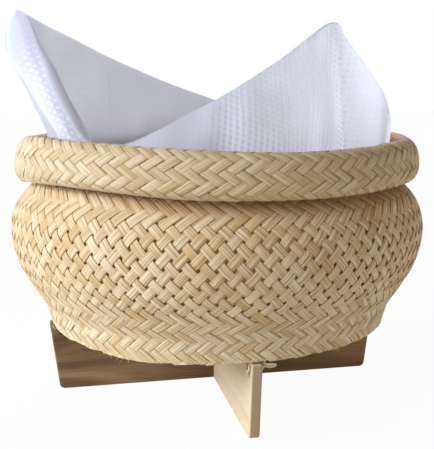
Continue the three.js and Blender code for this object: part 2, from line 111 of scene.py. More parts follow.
class Nodes:
    """Short forms for the nodes of a new material, or of a world. A tuple of three is a colour."""

    def __init__(self, owner):
        owner = bpy.data.materials.new(owner) if isinstance(owner, str) else owner
        owner.use_nodes = True
        self.owner = owner
        self.tree = owner.node_tree
        self.tree.nodes.clear()

    def add(self, kind, **values):
        node = self.tree.nodes.new("ShaderNode" + kind)
        for key, value in values.items():
            setattr(node, key, value)
        return node

    def put(self, socket, value):
        if isinstance(value, bpy.types.NodeSocket):
            self.tree.links.new(value, socket)
        elif isinstance(value, tuple):
            socket.default_value = (*value, 1)
        else:
            socket.default_value = value

    def feed(self, node, *values):
        """Puts values into a node's first inputs and returns its first output."""
        for socket, value in zip(node.inputs, values):
            self.put(socket, value)
        return node.outputs[0]

    def math(self, operation, *values, clamp=False):
        return self.feed(self.add("Math", operation=operation, use_clamp=clamp), *values)

    def times(self, a, b):
        return self.math("MULTIPLY", a, b)

    def plus(self, a, b):
        return self.math("ADD", a, b)

    def minus(self, a, b):
        return self.math("SUBTRACT", a, b)

    def most(self, a, b):
        return self.math("MAXIMUM", a, b)

    def wave(self, angle):
        """Cosine of the angle, moved to 0 to 1."""
        return self.math("MULTIPLY_ADD", self.math("COSINE", angle), 0.5, 0.5)

    def level(self, value, low, high, to_low=0.0, to_high=1.0):
        return self.feed(self.add("MapRange", clamp=True), value, low, high, to_low, to_high)

    def mix(self, factor, a, b, blend="MIX"):
        node = self.add("Mix", data_type="RGBA", blend_type=blend)
        self.put(node.inputs[0], factor)
        self.put(node.inputs[6], a)
        self.put(node.inputs[7], b)
        return node.outputs[2]

    def tinted(self, factor, colour, tint):
        return self.mix(factor, colour, self.mix(1.0, colour, tint, "MULTIPLY"))

    def split(self, vector):
        node = self.add("SeparateXYZ")
        self.put(node.inputs[0], vector)
        return tuple(node.outputs)

    def attribute(self, name):
        return self.split(self.add("Attribute", attribute_name=name).outputs["Vector"])

    def noise(self, place, scales, detail, roughness):
        """Noise at a place of three parts, each drawn out by its scale."""
        parts = [part if scale == 1 else self.times(part, scale) for part, scale in zip(place, scales)]
        node = self.add("TexNoise")
        self.put(node.inputs["Vector"], self.feed(self.add("CombineXYZ"), *parts))
        self.put(node.inputs["Scale"], 1.0)
        self.put(node.inputs["Detail"], detail)
        self.put(node.inputs["Roughness"], roughness)
        return node.outputs[0]

    def bump(self, height, distance, strength):
        node = self.add("Bump")
        self.put(node.inputs["Height"], height)
        self.put(node.inputs["Distance"], distance)
        self.put(node.inputs["Strength"], strength)
        return node.outputs[0]

    def principled(self, colour, roughness, normal, specular, sheen=0.0):
        node = self.add("BsdfPrincipled")
        self.put(node.inputs["Base Color"], colour)
        self.put(node.inputs["Roughness"], roughness)
        self.put(node.inputs["Normal"], normal)
        node.inputs["Specular IOR Level"].default_value = specular
        node.inputs["Sheen Weight"].default_value = sheen
        return node.outputs[0]

    def blend(self, factor, a, b):
        return self.feed(self.add("MixShader"), factor, a, b)

    def seen(self):
        """1 on rays that show the surroundings: from the camera, mirrored or passing through."""
        path = self.add("LightPath").outputs
        indirect = self.most(path["Is Glossy Ray"], path["Is Transmission Ray"])
        return self.most(path["Is Camera Ray"], indirect)

    def finish(self, shader, kind="Material"):
        self.put(self.add("Output" + kind).inputs[0], shader)
        return self.owner


# Mesh helpers


def put_vectors(mesh, name, values):
    layer = mesh.attributes.new(name, "FLOAT_VECTOR", "POINT")
    layer.data.foreach_set("vector", np.asarray(values, np.float32).ravel())


def mesh_object(name, points, faces, attributes):
    """A smooth mesh of quads, with one vector attribute for each entry."""
    mesh = bpy.data.meshes.new(name)
    count, sides = faces.shape
    mesh.vertices.add(len(points))
    mesh.vertices.foreach_set("co", np.asarray(points, np.float32).ravel())
    mesh.loops.add(count * sides)
    mesh.loops.foreach_set("vertex_index", faces.astype(np.int32).ravel())
    mesh.polygons.add(count)
    mesh.polygons.foreach_set("loop_start", np.arange(count, dtype=np.int32) * sides)
    mesh.polygons.foreach_set("use_smooth", np.ones(count, bool))
    mesh.update(calc_edges=True)
    mesh.validate()
    for key, values in attributes.items():
        put_vectors(mesh, key, values)
    return add_object(name, mesh)


def stacked(*parts):
    """Parts spread to one shape and put together as vectors."""
    return np.stack(np.broadcast_arrays(*parts), -1)


def round_axis(r, theta, z):
    """Points in metres from radius, angle and height in mm."""
    return stacked(r * np.cos(theta), r * np.sin(theta), z) * MM


def grid_corners(rows, lanes, closed_rows=False, closed_lanes=True):
    """Corners of a grid's quads: at the row and lane, the next lane, both next, and the next row."""
    i, j = np.indices((rows if closed_rows else rows - 1, lanes if closed_lanes else lanes - 1))
    k, m = (i + 1) % rows, (j + 1) % lanes
    return [corner.ravel() for corner in (i * lanes + j, i * lanes + m, k * lanes + m, k * lanes + j)]


class Bundle:
    """Gathers strips, in metres, and makes them one object."""

    def __init__(self):
        self.points, self.faces, self.strips, self.tones, self.count = [], [], [], [], 0

    def add(self, points, corners, strip, tone):
        """The strip is (metres along, share across, seed), and the tone three random shares."""
        points = points.reshape(-1, 3)
        self.points.append(points)
        self.faces.append(stacked(*corners) + self.count)
        self.strips.append(stacked(*strip).reshape(-1, 3))
        self.tones.append(np.broadcast_to(tone, points.shape))
        self.count += len(points)

    def make(self, name):
        attributes = {"strip": np.concatenate(self.strips), "tone": np.concatenate(self.tones)}
        return mesh_object(name, np.concatenate(self.points), np.concatenate(self.faces), attributes)


def add_piece(obj, material, body="bowl_on_stand", nodes=()):
    obj.data.materials.clear()
    obj.data.materials.append(material)
    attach(obj, body)
    if nodes:
        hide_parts(*nodes)


def cubic(p1, p2, v1, v2, w):
    """Point at the share w between two points with the given tangents."""
    return (2 * p1 - 2 * p2 + v1 + v2) * w**3 + (-3 * p1 + 3 * p2 - 2 * v1 - v2) * w**2 + v1 * w + p1


def spline(stations, count, closed=False):
    """Uniform Catmull-Rom line through the stations."""
    p = np.array(stations, float)
    n = len(p)
    t = np.linspace(0, n, count, endpoint=False) if closed else np.linspace(0, n - 1, count)
    i = np.minimum(t.astype(int), n - 1 if closed else n - 2)
    w = (t - i)[:, None]
    p0, p1, p2, p3 = (p[(i + o) % n if closed else np.clip(i + o, 0, n - 1)] for o in (-1, 0, 1, 2))
    return cubic(p1, p2, (p2 - p0) / 2, (p3 - p1) / 2, w)


def lengths(points):
    """Length from the first point to each point."""
    return np.r_[0, np.cumsum(np.linalg.norm(np.diff(points, axis=0), axis=1))]


def held(share):
    return np.clip(share, 0, 1)


def eased(share):
    """Share held to 0 to 1, with a soft start and end."""
    w = held(share)
    return w * w * (3 - 2 * w)


# Handmade unevenness

# Lifts in mm by azimuth in degrees: of the crest, of the crease under the rim and of the foot edge.
CREST_LIFT = (
    (0, 1.5), (20, 1), (60, 1.2), (120, 1), (150, 0.4), (170, 0.2), (180, 0.8), (188, 2.4), (195, 3.6),
    (205, 3.5), (217, 2.9), (228, 2.6), (236, 2.2), (243, 1.6), (251, 1), (259, 0.6), (267, -0.1),
    (275, -0.35), (283, -0.4), (293, 0), (306, 0.4), (315, 1.4), (326, 0.8), (340, 0.3), (360, 1.5))
CREASE_LIFT = (
    (0, 1), (40, 0), (175, 0), (182, 0.6), (190, 2.4), (201, 3.4), (213, 4.4), (226, 4.2), (234, 3.6),
    (243, 2.8), (251, 2), (258, 1.6), (267, 1.7), (277, 1.3), (295, 1.5), (313, 2.1), (330, 2), (360, 1))
FOOT_LIFT = (
    (0, 0), (210, 0), (224, -0.8), (233, -1.5), (243, -1.2), (253, -0.8), (264, 0), (276, 0), (290, 0.5),
    (310, 0.5), (330, 0), (360, 0))
# Heights over which the lift of the crease fades upward and downward, and that of the foot upward.
CREASE_FADE_UP = 19
CREASE_FADE_DOWN = 17
FOOT_FADE = 18
# The bowl out of round: a broad swell, and a ripple that drifts with the height.
SWELL = 0.25
SWELL_RISE = 30
RIPPLE = 0.15
RIPPLE_RISE = 18


def lift_at(table, azimuth):
    """Lift from a table, eased over a few degrees."""
    azimuths, lifts = zip(*table)
    return sum(np.interp((azimuth + turn) % 360, azimuths, lifts) for turn in (-5, -2.5, 0, 2.5, 5)) / 5


def warp(r, theta, z):
    """Small handmade unevenness of the whole bowl."""
    azimuth = np.degrees(theta)
    rise = z - NECK_Z
    over = held(rise / (CREST_Z - NECK_Z))
    near_crease = held(1 - np.where(rise > 0, rise / CREASE_FADE_UP, -rise / CREASE_FADE_DOWN))
    near_foot = held(1 - (z - FOOT_Z) / FOOT_FADE)
    z = z + lift_at(CREASE_LIFT, azimuth) * near_crease**1.3 + lift_at(CREST_LIFT, azimuth) * over
    z = z + lift_at(FOOT_LIFT, azimuth) * near_foot**1.5
    r = r + SWELL * np.sin(3 * theta + 0.7) * held((z - FOOT_Z) / SWELL_RISE)
    return r + RIPPLE * np.sin(5 * theta + z / RIPPLE_RISE), z


# Split bamboo

WARM_TINT = (1.0, 0.88, 0.68)
BLEACHED_TINT = (1.03, 1.08, 1.2)
# Painted shade of the strip edges, between the strips.
EDGE_SHADE_COLOUR = (0.52, 0.285, 0.085)
# Places in metres between which the lines and the painted edge shade of the strips grow stronger: painted
# light, fainter on the lit left and stronger on the shaded right.
LEFT_X = -0.09
RIGHT_X = 0.07
# Places past which the rim's crest takes the painted shade of the inner face, and past which the painted
# shade of the crease grows lighter on the lit left, in metres.
CREST_SHADE_X = 0.062
LIT_CREASE_X = -0.03
BAMBOO_RELIEF = 0.00045


def zone_places(n, x, y, z):
    """Coordinates by which a zone is placed.

    The inside place is the radius, less at the right, so that the painted shade of the inner face takes in
    the crest there.
    The crease place is the height, less at the left, so that the painted shade in the crease is lighter on
    the lit left."""
    reach = n.math("SQRT", n.plus(n.times(x, x), n.times(y, y)))
    inside = n.minus(reach, n.times(n.most(n.minus(x, CREST_SHADE_X), 0.0), 0.2))
    crease = n.minus(z, n.times(n.most(n.minus(LIT_CREASE_X, x), 0.0), 0.13))
    return {"x": x, "height": z, "inside": inside, "crease": crease}


def bamboo(name, pale, straw, dark, depth=1.0, painted_zones=()):
    """Split bamboo. Each painted zone is (coordinate, from, to, tint): painted light and shade, with a tint
    that comes in between the two.
    """
    n = Nodes(name)
    along, across, seed = n.attribute("strip")
    tone, _, grade = n.attribute("tone")
    shift = n.times(seed, 37.0)
    fine = n.noise((along, across, shift), (30.0, 3.4, 1), 3.0, 0.6)
    hair = n.noise((along, across, n.plus(shift, 9.0)), (45.0, 6.5, 1), 2.0, 0.6)
    cloud = n.noise((along, across, shift), (75.0, 0.8, 1), 2.0, 0.5)
    warm = tuple(c * f for c, f in zip(straw, WARM_TINT))
    bleached = tuple(min(1, c * f) for c, f in zip(pale, BLEACHED_TINT))
    colour = n.mix(n.level(tone, 0.0, 1.0, 0.0, 0.9), pale, straw)
    colour = n.mix(n.level(grade, 0.7, 1.0, 0.0, 0.55), colour, warm)
    colour = n.mix(n.level(cloud, 0.5, 0.7, 0.0, 0.6), colour, warm)
    colour = n.mix(n.level(cloud, 0.45, 0.3, 0.0, 0.6), colour, bleached)
    x, y, z = n.split(n.add("TexCoord").outputs["Object"])
    # Fibre lines, kept fainter on the lit left as painted light.
    lines = n.level(fine, 0.47, 0.6, 0.0, n.level(x, LEFT_X, RIGHT_X, 0.75, 1.0))
    colour = n.mix(n.times(lines, depth), colour, dark)
    colour = n.mix(n.level(hair, 0.5, 0.36, 0.0, 0.6), colour, bleached)
    # Strip edges darkened: painted shade between the strips, weaker on the lit left and stronger on the
    # shaded right.
    edge = n.level(n.math("ABSOLUTE", across), 0.8, 1.0, 0.0, n.level(x, LEFT_X, RIGHT_X, 0.35, 0.85))
    colour = n.mix(n.times(edge, depth), colour, EDGE_SHADE_COLOUR)
    places = zone_places(n, x, y, z)
    # Painted light and shade, one zone after another.
    for place, low, high, tint in painted_zones:
        colour = n.tinted(n.level(places[place], low, high), colour, tint)
    normal = n.bump(n.plus(n.times(fine, 0.6), n.times(hair, 0.4)), BAMBOO_RELIEF, 0.9)
    return n.finish(n.principled(colour, n.level(fine, 0.3, 0.7, 0.5, 0.66), normal, 0.14))


PALE = (0.84, 0.655, 0.39)
STRAW = (0.68, 0.48, 0.235)
DARK = (0.45, 0.245, 0.075)
# Painted light and shade of the outer strips: painted shade in the crease under the rim, darker painted
# shade on the strip ends tucked above the neck under the rim, and painted light from the floor near the
# foot.
OUTER_LIGHT_AND_SHADE = (
    ("crease", (NECK_Z - 6) * MM, (NECK_Z - 1) * MM, (0.62, 0.5, 0.42)),
    ("height", (NECK_Z + 1) * MM, (NECK_Z + 4) * MM, (0.45, 0.36, 0.3)),
    ("height", (FOOT_Z + 18) * MM, (FOOT_Z + 8) * MM, (1.06, 1.10, 1.16)))
# Painted light and shade of the rim: painted shade on its inner face, painted light on the lit left and
# painted shade on the right.
RIM_LIGHT_AND_SHADE = (
    ("inside", (RIM_RADIUS + 1.5) * MM, (RIM_RADIUS - 2) * MM, (0.5, 0.36, 0.2)),
    ("x", -0.03, -0.085, (1.09, 1.14, 1.22)),
    ("x", 0.0, 0.07, (0.94, 0.92, 0.9)))
bamboo_outer = bamboo("bamboo_outer", PALE, STRAW, DARK, 1.0, OUTER_LIGHT_AND_SHADE)
bamboo_rim = bamboo("bamboo_rim", (0.755, 0.59, 0.35), (0.61, 0.44, 0.225), DARK, 0.9, RIM_LIGHT_AND_SHADE)
bamboo_inner = bamboo("bamboo_inner", (0.9, 0.58, 0.25), (0.8, 0.47, 0.18), (0.48, 0.27, 0.10))
hoop_cane = bamboo("hoop_cane", (0.72, 0.56, 0.33), (0.64, 0.46, 0.25), DARK)
tie_cane = bamboo("tie_cane", (0.82, 0.66, 0.43), (0.70, 0.52, 0.30), (0.40, 0.25, 0.12))

# Lines of the walls

LINE_SAMPLES = 1200
SMOOTHING = 25
WALL_SAMPLES = 400


def smoothed(values):
    """Running mean over SMOOTHING samples, with the ends held."""
    return np.convolve(np.pad(values, SMOOTHING // 2, "edge"), np.ones(SMOOTHING) / SMOOTHING, "valid")


class Line:
    """A wall's line in (radius, height), with its outward normal and its crossing rows, up to 0 at the top.

    The pitch is a table of (share along the line, rise of one row in mm)."""

    def __init__(self, points, pitch):
        p = np.array(points, float)
        s = lengths(p)
        fine = np.linspace(0, s[-1], LINE_SAMPLES)
        self.r, self.z = (np.interp(fine, s, p[:, k]) for k in (0, 1))
        dr, dz = (smoothed(np.gradient(values, fine)) for values in (self.r, self.z))
        size = np.hypot(dr, dz)
        self.nr, self.nz = dz / size, -dr / size
        pitches = np.interp(fine / s[-1], *zip(*pitch))
        rows = np.r_[0, np.cumsum(np.diff(fine) / ((pitches[1:] + pitches[:-1]) / 2))]
        self.u = rows - rows[-1]
        self.spacing = STEP * self.r * np.sin(np.arctan(2 * pitches / (STEP * self.r)))

    def at(self, u, what):
        return np.interp(u, self.u, getattr(self, what))


def offset_line(points, depth):
    p = np.array(points, float)
    d = np.gradient(p, axis=0)
    d /= np.hypot(*d.T)[:, None]
    return p + np.c_[-d[:, 1], d[:, 0]] * depth


def wall_line():
    return spline(WALL_STATIONS, WALL_SAMPLES) + np.array((0, FOOT_Z))


# Strips

# Section of a strip: (share of half its width, height in thicknesses), once round.
SECTION = np.array(
    ((-1, 0.12), (-0.86, 0.42), (0, 0.52), (0.86, 0.42), (1, 0.12), (0.9, -0.45), (-0.9, -0.45)))
MIDDLE_LANE = 2
# Places of a strip's cross sections within each row, and the rows left free of them at both ends.
ROW_SAMPLES = np.array((-0.5, -0.34, -0.15, 0.15, 0.34))
END_ROWS = 0.52
STRIP_WIDTH = 3.86
# Largest half width, as a share of the distance between strips.
WIDEST_SHARE = 0.485
# Share by which the strips are wider, by azimuth: the weave is tighter at the left.
CLOSER = ((0, 0.97), (120, 1), (165, 1.1), (185, 1.17), (207, 1.15), (228, 1.04), (245, 0.97), (360, 0.97))
# Handmade spread of the width, of the place in a row and of the height in mm.
WIDTH_SPREAD = 0.018
PLACE_SPREAD = 0.03
PLACE_WAVE = 0.012
HEIGHT_SPREAD = 0.03
# How far a strip sinks, in thicknesses, where it passes from over to under.
PASSING_SINK = 0.16


def over_at(rows, pattern, reach):
    """Height share of a strip by row: +1 over, -1 under, eased between. The pattern runs down from row 0."""
    k = np.floor(rows).astype(int)
    first, second = (pattern[np.clip(-row, 0, len(pattern) - 1)] for row in (k, k + 1))
    w = eased((rows - k - 0.5 + reach) / (2 * reach))
    return first * (1 - w) + second * w


def strip_family(name, line, pattern, side, thickness, sway, reach, ragged=0.0):
    """All the strips of one direction. Side +1 leans up to the right, -1 up to the left."""
    low, high = line.u[0], line.u[-1]
    across, up = SECTION.T
    grid = (np.arange(math.floor(low), math.ceil(high) + 1)[:, None] + ROW_SAMPLES).ravel()
    centre = np.r_[low, grid[(grid > low + END_ROWS) & (grid < high - END_ROWS)], high]
    corners = grid_corners(len(centre), len(across))[::side]
    bundle = Bundle()
    for i in range(STRIPS):
        wide = STRIP_WIDTH * (1 + rng.normal(0, WIDTH_SPREAD))
        wander = rng.normal(0, PLACE_SPREAD)
        wander += PLACE_WAVE * np.sin(centre * rng.uniform(0.2, 0.5) + rng.uniform(0, 6))
        rise = rng.normal(0, HEIGHT_SPREAD)
        azimuth = np.degrees(side * (2 * i + centre) * STEP / 2) % 360
        half = wide * np.interp(azimuth, *zip(*CLOSER)) / 2 / line.at(centre, "spacing")
        a = np.minimum(half, WIDEST_SHARE)[:, None] * across + wander[:, None]
        m = np.repeat(centre[:, None], len(across), 1)
        m[0] = low + a[0] + rng.uniform(0, ragged)
        m[-1] = high + a[-1]
        u = np.clip(m - a, low, high)
        ease = over_at(m, pattern, reach) * side
        height = sway * ease + rise + up * thickness - PASSING_SINK * thickness * (1 - np.abs(ease))
        r, z = (line.at(u, key) + line.at(u, "n" + key) * height for key in ("r", "z"))
        theta = side * (2 * i + a + m) * STEP / 2
        r, z = warp(r, theta, z)
        points = round_axis(r, theta, z)
        travel = lengths(points[:, MIDDLE_LANE])
        seed = rng.uniform(0, 1)
        bundle.add(points, corners, (travel[:, None] + seed, across, seed), rng.uniform(0, 1, 3))
    return bundle.make(name)


def weave(prefix, line, pattern, material, node, **strip):
    """A braid of both directions of strips along a line."""
    for way, side in (("rising_right", 1), ("rising_left", -1)):
        obj = strip_family(f"{prefix}_strips_{way}", line, np.array(pattern, float), side, **strip)
        add_piece(obj, material, nodes=(node,))


# Walls and rim

# Which direction is over, row by row from the top.
TWILL = [1, 1, -1, -1]
WALL_PATTERN = TWILL + [1, 1] + [-1, 1] * 5 + [-1, -1, 1, 1] * 4
WALL_PITCH = (
    (0, 2.42), (0.13, 2.5), (0.27, 2.7), (0.36, 3.5), (0.6, 3.8), (0.74, 3.7), (0.8, 2.9), (0.9, 2.5),
    (1, 2.45))
WALL_INSET = 0.62
WALL_TUCK_REACH = 3
WALL_TUCK_RISE = 2.2
RIM_PITCH = ((0, 2.42),)
RIM_INSET = 0.55
RIM_START = math.radians(-72)
RIM_SWEEP = math.radians(322)
RIM_SAMPLES = 240
# Share by which the rim is fuller at its lower outer side.
RIM_FULLNESS = 0.3
LINING_PITCH = ((0, 2.5),)
LINING_INSET = 1.9
LINING_WALL_RISE = 4.6
CORNER_RISE = 3.9
CORNER_WIDTH = 7
LINING_TUCK_REACH = 5.4
LINING_TUCK_RISE = 2


def build_outer_wall():
    line = np.vstack((wall_line(), (NECK_RADIUS - WALL_TUCK_REACH, NECK_Z + WALL_TUCK_RISE)))
    weave("wall", Line(offset_line(line, WALL_INSET), WALL_PITCH), WALL_PATTERN, bamboo_outer,
          "outer_woven_wall", thickness=0.28, sway=0.165, reach=0.2, ragged=0.32)


def build_rim():
    angle = RIM_START + RIM_SWEEP * np.linspace(0, 1, RIM_SAMPLES)
    c, s = np.cos(angle), np.sin(angle)
    full = 1 + RIM_FULLNESS * held(c) * held(-s)
    r = RIM_RADIUS + (RIM_HALF_WIDTH - RIM_INSET) * c * full
    z = RIM_Z + (RIM_HALF_HEIGHT - RIM_INSET) * s * full
    weave("rim", Line(stacked(r, z), RIM_PITCH), TWILL * 8, bamboo_rim, "rim_roll",
          thickness=0.38, sway=0.22, reach=0.17)


def build_lining():
    inner = offset_line(wall_line(), LINING_INSET)
    inner = inner[inner[:, 1] > LINING_FLOOR_Z + LINING_WALL_RISE]
    t = np.linspace(0, 0.94, 12)
    corner_z = LINING_FLOOR_Z + MAT_THICKNESS / 2 + CORNER_RISE * t**2
    corner = stacked(inner[0, 0] - CORNER_WIDTH * (1 - t) ** 1.2, corner_z)
    line = np.vstack((corner, inner, (NECK_RADIUS - LINING_TUCK_REACH, NECK_Z + LINING_TUCK_RISE)))
    weave("lining", Line(line, LINING_PITCH), TWILL * 10, bamboo_inner, "inner_woven_lining",
          thickness=0.42, sway=0.26, reach=0.2)


# Floors

MAT_SAMPLES = np.array((-0.5, -0.3, -0.12, 0.12, 0.3))
MAT_SWAY = 0.24
MAT_EDGE = 0.4
MAT_END = 0.3
MAT_SPREAD = 0.06


def woven_floor(name, radius, floor_z, pitch, width, thickness, material, node):
    """A round mat of straight strips woven over and under each other at right angles."""
    across, up = SECTION.T
    count = int(radius // pitch)
    bundle = Bundle()
    for way in (0, 1):
        for i in range(-count, count + 1):
            offset = i * pitch
            half_run = math.sqrt(max(radius**2 - offset**2, 0)) - MAT_EDGE
            if half_run < pitch:
                continue
            cells = int(half_run // pitch)
            along = (np.arange(-cells, cells + 1)[:, None] + MAT_SAMPLES).ravel() * pitch
            along = np.r_[-half_run, along[np.abs(along) < half_run - MAT_END], half_run]
            k = np.floor(along / pitch + 0.5)
            phase = np.where((k + i + way) % 2 == 0, 1.0, -1.0)
            ease = phase * held(np.cos((along / pitch - k) * math.pi) * 1.6)
            beside = offset + across * width / 2 + rng.normal(0, MAT_SPREAD)
            x, y = np.broadcast_arrays(along[:, None], beside)
            rise = FLOOR_CROWN * (1 - (x**2 + y**2) / radius**2)
            z = floor_z + MAT_THICKNESS / 2 + rise + MAT_SWAY * ease[:, None] + up * thickness
            points = stacked(*(-y, x, z) if way else (x, y, z)) * MM
            seed = rng.uniform(0, 1)
            corners = grid_corners(len(along), len(across))[::-1]
            bundle.add(points, corners, (x * MM + seed, across, seed), rng.uniform(0, 1, 3))
    add_piece(bundle.make(name), material, nodes=(node,))


build_outer_wall()
build_rim()
build_lining()
woven_floor("outer_floor_strips", 82.0, FLOOR_Z, 5.2, 4.6, 0.5, bamboo_outer, "outer_woven_floor")
woven_floor("lining_floor_strips", 80.5, LINING_FLOOR_Z, 4.4, 3.9, 0.45, bamboo_inner, "inner_woven_lining")

# Hoops

HOOP_TURNS = 240
HOOP_TONE = 0.4
RIM_HOOP_REACH = 4.3
RIM_HOOP_RISE = 7.6
RIM_HOOP_LIFT = 0.5


def hoop(name, section, node, seed, wobble=0.0):
    """A bent split of bamboo: a closed section of (radius, height) swept round the bowl."""
    section = np.array(section, float)
    angle = np.linspace(0, 2 * math.pi, HOOP_TURNS, endpoint=False)[:, None]
    out_of_round = 1 + wobble * np.sin(2 * angle + seed)
    r, z = warp(section[:, 0] * out_of_round, angle, np.repeat(section[None, :, 1], HOOP_TURNS, 0))
    edge = lengths(section)
    strip = (angle * section[:, 0].mean() * MM, edge / edge[-1] * 1.6 - 0.8, seed)
    bundle = Bundle()
    bundle.add(round_axis(r, angle, z), grid_corners(HOOP_TURNS, len(section), True)[::-1], strip, HOOP_TONE)
    add_piece(bundle.make(name), hoop_cane, nodes=(node,))


def rounded(r0, r1, z0, z1, corner, steps=4):
    """Rounded rectangle between two radii and two heights, clockwise."""
    left, right, low, high = r0 + corner, r1 - corner, z0 + corner, z1 - corner
    points = []
    for cx, cz, start in ((right, high, 90), (right, low, 0), (left, low, -90), (left, high, -180)):
        for k in range(steps + 1):
            t = math.radians(start - 90 * k / steps)
            points.append((cx + corner * math.cos(t), cz + corner * math.sin(t)))
    return points


def build_hoops():
    section = rounded(76.9, 79.3, FOOT_Z + 0.1, FOOT_Z + 4.6, corner=0.7)
    hoop("foot_hoop_split", section, "foot_hoop", seed=0.3, wobble=0.002)
    angle = np.linspace(0, -2 * math.pi, 18, endpoint=False)
    r = RIM_RADIUS + RIM_HOOP_REACH * np.cos(angle)
    z = RIM_Z + RIM_HOOP_LIFT + RIM_HOOP_RISE * np.sin(angle)
    hoop("rim_hoop_split", stacked(r, z), "rim_hoop", seed=0.8)


# Stand

SHADE_EDGE = 0.002
WOOD_RELIEF = 0.00012
BOARD_BEVEL = 0.7
BOARD_TOE = 2.6
BOARD_BROW = 1.2
CORNER_POINTS = 7
LAP_FIT = 0.3
TIE_HOLE_REACH = 77.8
TIE_HOLE_Z = 29
TIE_HOLE_RADIUS = 1.2
TIE_HOLE_SIDES = 16
# How far the cross board is turned off its right angle, as in the photograph.
CROSS_BOARD_SKEW = math.radians(0.5)
# Painted shade on the brown board, where the bowl and the cross board shade it, in metres along it: (dark
# end, unshaded end, tint).
BROWN_PAINTED_SHADE = ((0.014, 0.08, (0.38, 0.37, 0.35)), (0.010, -0.035, (0.58, 0.54, 0.48)))


def shaded(colour, share):
    return tuple(c * share for c in colour)


def wood(name, pale, mid, dark, along_scale, contrast, painted_shades=()):
    """Planed wood. Grain holds metres along, up and through the board, and end is 1 on its sawn ends."""
    n = Nodes(name)
    x, y, z = n.attribute("grain")
    drift = n.noise((x, y, z), (along_scale, 26.0, 1), 2.0, 0.5)
    lane = n.plus(n.plus(n.times(y, 210.0), n.times(drift, 9.0)), n.times(z, 60.0))
    rings = n.level(n.math("SINE", n.times(lane, 2.6)), -0.5, 1.0)
    broad = n.noise((x, lane, 0.0), (7.0, 0.55, 1), 2.0, 0.55)
    fibre = n.noise((x, y, z), (60.0, 2300.0, 2300.0), 3.0, 0.6)
    pore = n.noise((x, y, z), (190.0, 3600.0, 3600.0), 1.0, 0.5)
    colour = n.mix(n.level(broad, 0.38, 0.62), pale, mid)
    colour = n.mix(n.times(rings, 0.55 * contrast), colour, dark)
    colour = n.mix(n.level(fibre, 0.45, 0.75, 0.0, 0.35 * contrast + 0.08), colour, dark)
    colour = n.mix(n.level(pore, 0.66, 0.76, 0.0, 0.5), colour, shaded(dark, 0.55))
    # Painted shade along the board, from its dark end out to its unshaded end.
    for dark_end, unshaded_end, tint in painted_shades:
        cut = dark_end - math.copysign(SHADE_EDGE, unshaded_end - dark_end)
        colour = n.tinted(n.times(n.level(x, unshaded_end, dark_end), n.level(x, cut, dark_end)), colour, tint)
    sawn = n.mix(n.level(fibre, 0.35, 0.65), shaded(mid, 0.92), shaded(mid, 0.6))
    colour = n.mix(n.attribute("end")[0], colour, sawn)
    normal = n.bump(n.plus(n.times(fibre, 0.7), n.times(rings, 0.3)), WOOD_RELIEF, 0.7)
    return n.finish(n.principled(colour, n.level(fibre, 0.3, 0.7, 0.5, 0.7), normal, 0.18))


def rounded_corner(before, at, after, radius):
    """Points of the arc that rounds a corner between its two neighbours."""
    p, q, s = (np.array(v, float) for v in (before, at, after))
    d0, d1 = (p - q) / np.linalg.norm(p - q), (s - q) / np.linalg.norm(s - q)
    angle = math.acos(float(np.clip(d0 @ d1, -1, 1)))
    reach = radius / math.tan(angle / 2)
    centre = q + (d0 + d1) / np.linalg.norm(d0 + d1) * radius / math.sin(angle / 2)
    a, b = q + d0 * reach - centre, q + d1 * reach - centre
    turn = math.atan2(a[0] * b[1] - a[1] * b[0], a @ b)
    arc = ((math.cos(t), math.sin(t)) for t in np.linspace(0, turn, CORNER_POINTS))
    return [tuple(centre + np.array((a[0] * c - a[1] * s, a[0] * s + a[1] * c))) for c, s in arc]


def board_outline(slot_from_top):
    """Outline of a board on edge as (along, up), with its lap slot and rounded corners."""
    slot = BOARD_THICKNESS / 2 + LAP_FIT
    reach, middle = LAP_FIT / 2, STAND_HEIGHT / 2
    foot, head = BOARD_FOOT / 2, BOARD_HEAD / 2
    low_left, low_right = (-foot, 0), (foot, 0)
    high_left, high_right = (-head, STAND_HEIGHT), (head, STAND_HEIGHT)
    points = []
    if not slot_from_top:
        points += [(-slot, 0), (-slot, middle + reach), (slot, middle + reach), (slot, 0)]
    points += rounded_corner((0, 0), low_right, high_right, BOARD_TOE)
    points += rounded_corner(low_right, high_right, high_left, BOARD_BROW)
    if slot_from_top:
        low = middle - reach
        points += [(slot, STAND_HEIGHT), (slot, low), (-slot, low), (-slot, STAND_HEIGHT)]
    points += rounded_corner(high_right, high_left, low_left, BOARD_BROW)
    points += rounded_corner(high_left, low_left, (0, 0), BOARD_TOE)
    return points


def board_mesh(name, outline):
    """A bevelled board with its two tie holes, lying flat, from a filled curve."""
    curve = bpy.data.curves.new(name, "CURVE")
    curve.dimensions = "2D"
    curve.fill_mode = "BOTH"
    round_hole = [TIE_HOLE_RADIUS * np.array((math.cos(t), math.sin(t)))
                  for t in np.linspace(0, 2 * math.pi, TIE_HOLE_SIDES, endpoint=False)]
    holes = [[(side * TIE_HOLE_REACH + x, TIE_HOLE_Z + y) for x, y in round_hole] for side in (-1, 1)]
    for loop in [outline] + holes:
        line = curve.splines.new("POLY")
        line.points.add(len(loop) - 1)
        for point, (x, y) in zip(line.points, loop):
            point.co = (x, y, 0, 1)
        line.use_cyclic_u = True
    curve.extrude = BOARD_THICKNESS / 2 - BOARD_BEVEL
    curve.bevel_depth = BOARD_BEVEL
    curve.bevel_resolution = 2
    curve.offset = -BOARD_BEVEL
    source = add_object(name + "_curve", curve)
    mesh = bpy.data.meshes.new_from_object(source.evaluated_get(bpy.context.evaluated_depsgraph_get()))
    bpy.data.objects.remove(source)
    bpy.data.curves.remove(curve)
    mesh.name = name
    return mesh


